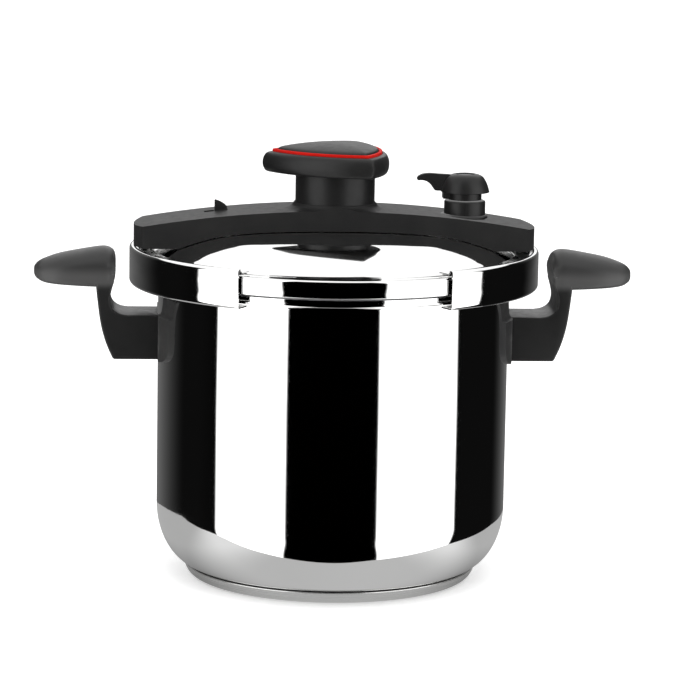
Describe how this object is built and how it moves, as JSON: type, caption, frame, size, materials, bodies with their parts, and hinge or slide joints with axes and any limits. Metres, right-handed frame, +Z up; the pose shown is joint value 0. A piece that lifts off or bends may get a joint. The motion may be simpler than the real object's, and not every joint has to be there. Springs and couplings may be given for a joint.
{
  "type": "pressure cooker",
  "caption": "Two-jaw quick-close pressure cooker: domed lid clamped by sliding jaws under a bridge, triangular knob, pressure regulator and side handles.",
  "frame": {"origin": "centre of the pot's foot on the surface it stands on, on the pot's axis", "axes": "+Z up along the pot's axis, +X along the bridge and side handles towards the regulator valve, front is -Y"},
  "size_m": [0.3774, 0.2512, 0.2761],
  "materials": {
    "polished_steel": "mirror-polished stainless steel",
    "brushed_steel": "satin stainless steel",
    "aluminium": "plain aluminium heat-spreading disc",
    "black_plastic": "matt black phenolic moulding",
    "grey_black_plastic": "matt dark grey moulding",
    "red_trim": "satin red plastic",
    "silicone_rubber": "grey silicone",
    "brass": "turned brass"
  },
  "bodies": {
    "pot": {"pot_body": "polished_steel", "base_core": "aluminium", "base_cap": "brushed_steel", "handle_left": "black_plastic", "handle_right": "black_plastic", "saddle_left": "black_plastic", "saddle_right": "black_plastic", "handle_tab_left": "brushed_steel", "handle_tab_right": "brushed_steel", "handle_screw_left": "brushed_steel", "handle_screw_right": "brushed_steel"},
    "lid": {"lid_shell": "polished_steel", "gasket": "silicone_rubber", "bridge_cover": "black_plastic", "chassis": "brushed_steel", "lid_stud_left": "brushed_steel", "lid_stud_right": "brushed_steel", "stud_nut_left": "brushed_steel", "stud_nut_right": "brushed_steel", "steam_pipe": "brass", "pipe_nut": "brass", "valve_housing": "black_plastic", "safety_valve": "brushed_steel", "safety_nut": "brushed_steel", "regulator_needle": "brushed_steel"},
    "knob": {"knob_body": "black_plastic", "knob_trim_ring": "red_trim", "knob_cap": "grey_black_plastic", "spindle": "brushed_steel", "cam_disc": "brushed_steel", "cam_clip": "brushed_steel"},
    "jaw_left": {"jaw_left": "polished_steel", "jaw_arm_left": "brushed_steel", "jaw_rivet_left_1": "brushed_steel", "jaw_rivet_left_2": "brushed_steel", "cam_pin_left": "brushed_steel"},
    "jaw_right": {"jaw_right": "polished_steel", "jaw_arm_right": "brushed_steel", "jaw_rivet_right_1": "brushed_steel", "jaw_rivet_right_2": "brushed_steel", "cam_pin_right": "brushed_steel"},
    "regulator": {"regulator_cap": "black_plastic"},
    "indicator": {"indicator_fin": "black_plastic"},
    "lock": {"lock_plunger": "brushed_steel"}
  },
  "joints": [
    {"name": "lid_turn", "type": "hinge", "parent": "pot", "child": "lid", "pos_m": [0, 0, 0.195], "axis": [0, 0, 1], "continuous": true},
    {"name": "knob_turn", "type": "hinge", "parent": "lid", "child": "knob", "pos_m": [0, 0, 0.24], "axis": [0, 0, 1], "range_deg": [0, 90]},
    {"name": "jaw_left_slide", "type": "slide", "parent": "lid", "child": "jaw_left", "axis": [-1, 0, 0], "range_m": [0, 0.0075]},
    {"name": "jaw_right_slide", "type": "slide", "parent": "lid", "child": "jaw_right", "axis": [1, 0, 0], "range_m": [0, 0.0075]},
    {"name": "regulator_turn", "type": "hinge", "parent": "lid", "child": "regulator", "pos_m": [0.0813, -0.008, 0.245], "axis": [0, 0, 1], "range_deg": [0, 120]},
    {"name": "indicator_slide", "type": "slide", "parent": "lid", "child": "indicator", "axis": [-1, 0, 0], "range_m": [0, 0.005]},
    {"name": "lock_rise", "type": "slide", "parent": "lid", "child": "lock", "axis": [0, 0, 1], "range_m": [0, 0.0035]}
  ],
  "couplings": [
    {"joint": "jaw_left_slide", "follows": "knob_turn", "m_per_rad": 0.00477},
    {"joint": "jaw_right_slide", "follows": "knob_turn", "m_per_rad": 0.00477}
  ]
}
